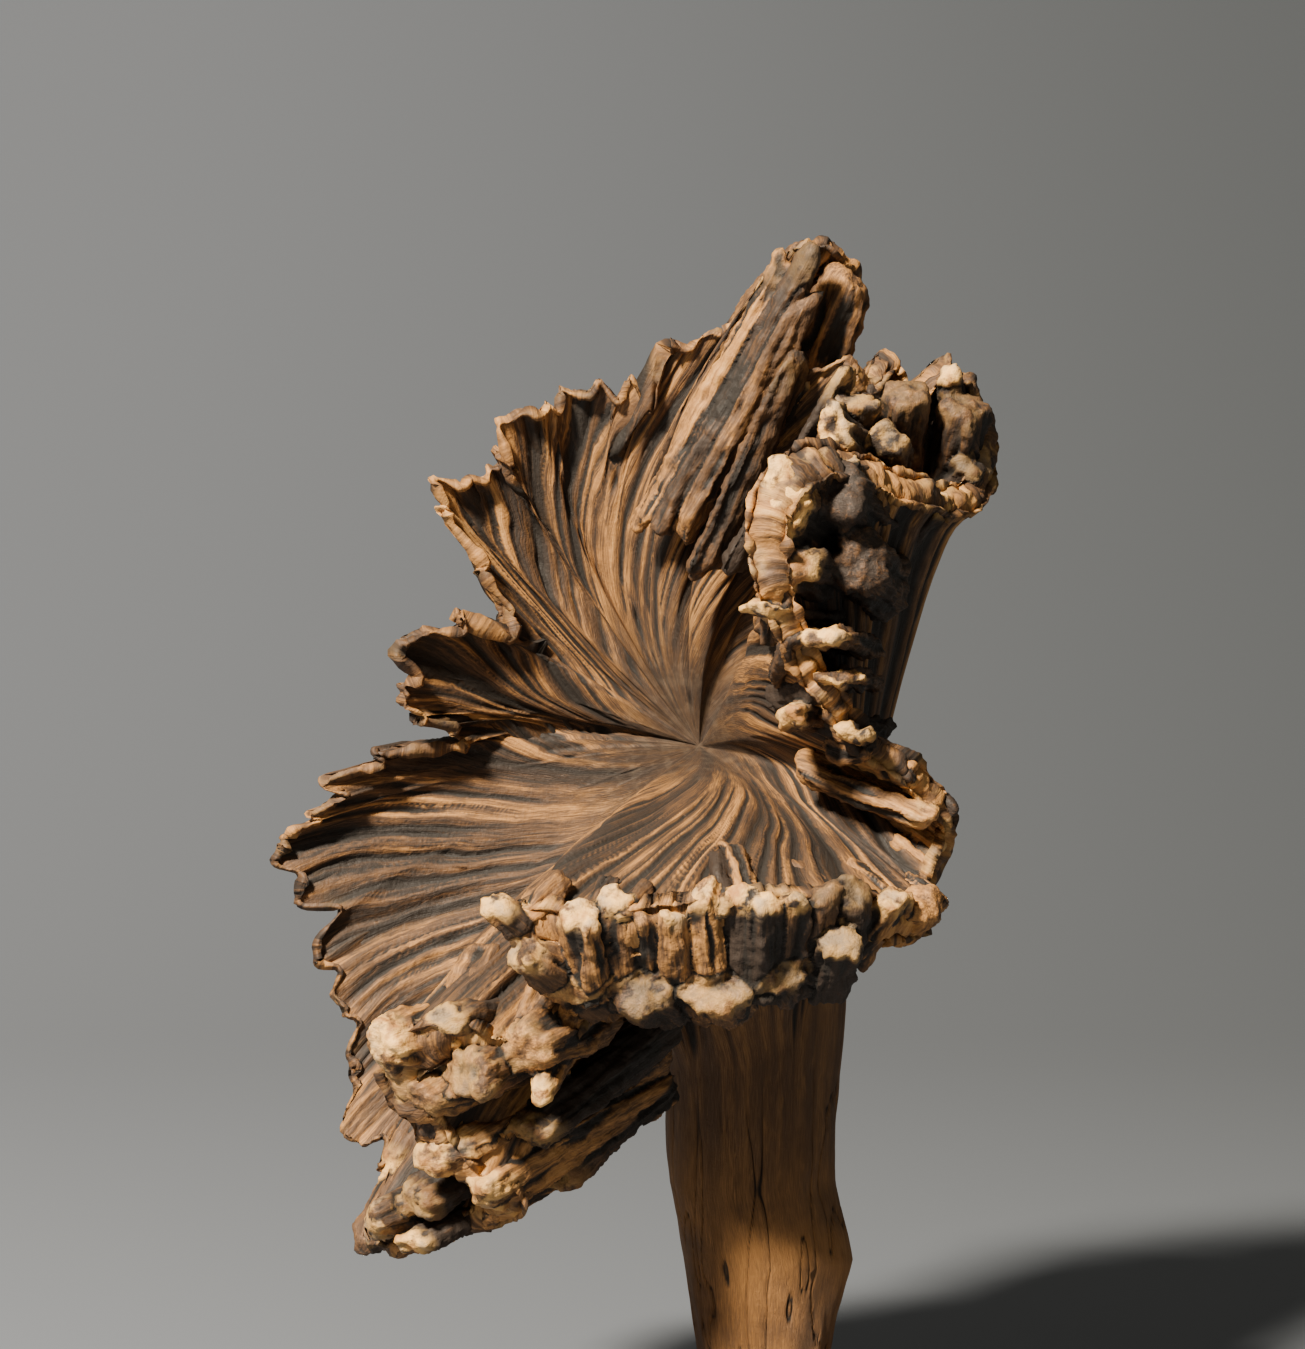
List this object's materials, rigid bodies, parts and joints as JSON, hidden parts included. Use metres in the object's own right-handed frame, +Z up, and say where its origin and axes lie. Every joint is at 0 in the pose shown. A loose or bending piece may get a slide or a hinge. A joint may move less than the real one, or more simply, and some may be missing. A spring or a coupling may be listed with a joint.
{
  "type": "wood rose on a stand",
  "caption": "Wood rose: a fluted, frilled flower of root wood on its own root, standing upright on a plain round wooden base.",
  "frame": {"origin": "centre of the base's underside, on the surface that it stands on", "axes": "+Z up along the root, -Y towards the viewer who faces the fluted side, +X to that viewer's right"},
  "size_m": [0.2124, 0.1848, 0.3667],
  "materials": {
    "aged_root_wood": "dry weathered root wood, dark in the grooves, tan on the ridges and cream where the rim is broken",
    "base_wood": "dark stained and waxed",
    "screw_steel": "plain bright steel"
  },
  "bodies": {
    "root": {"wood_rose": "aged_root_wood", "stand_base": "base_wood", "fixing_screw_1": "screw_steel", "fixing_screw_2": "screw_steel"}
  },
  "joints": []
}
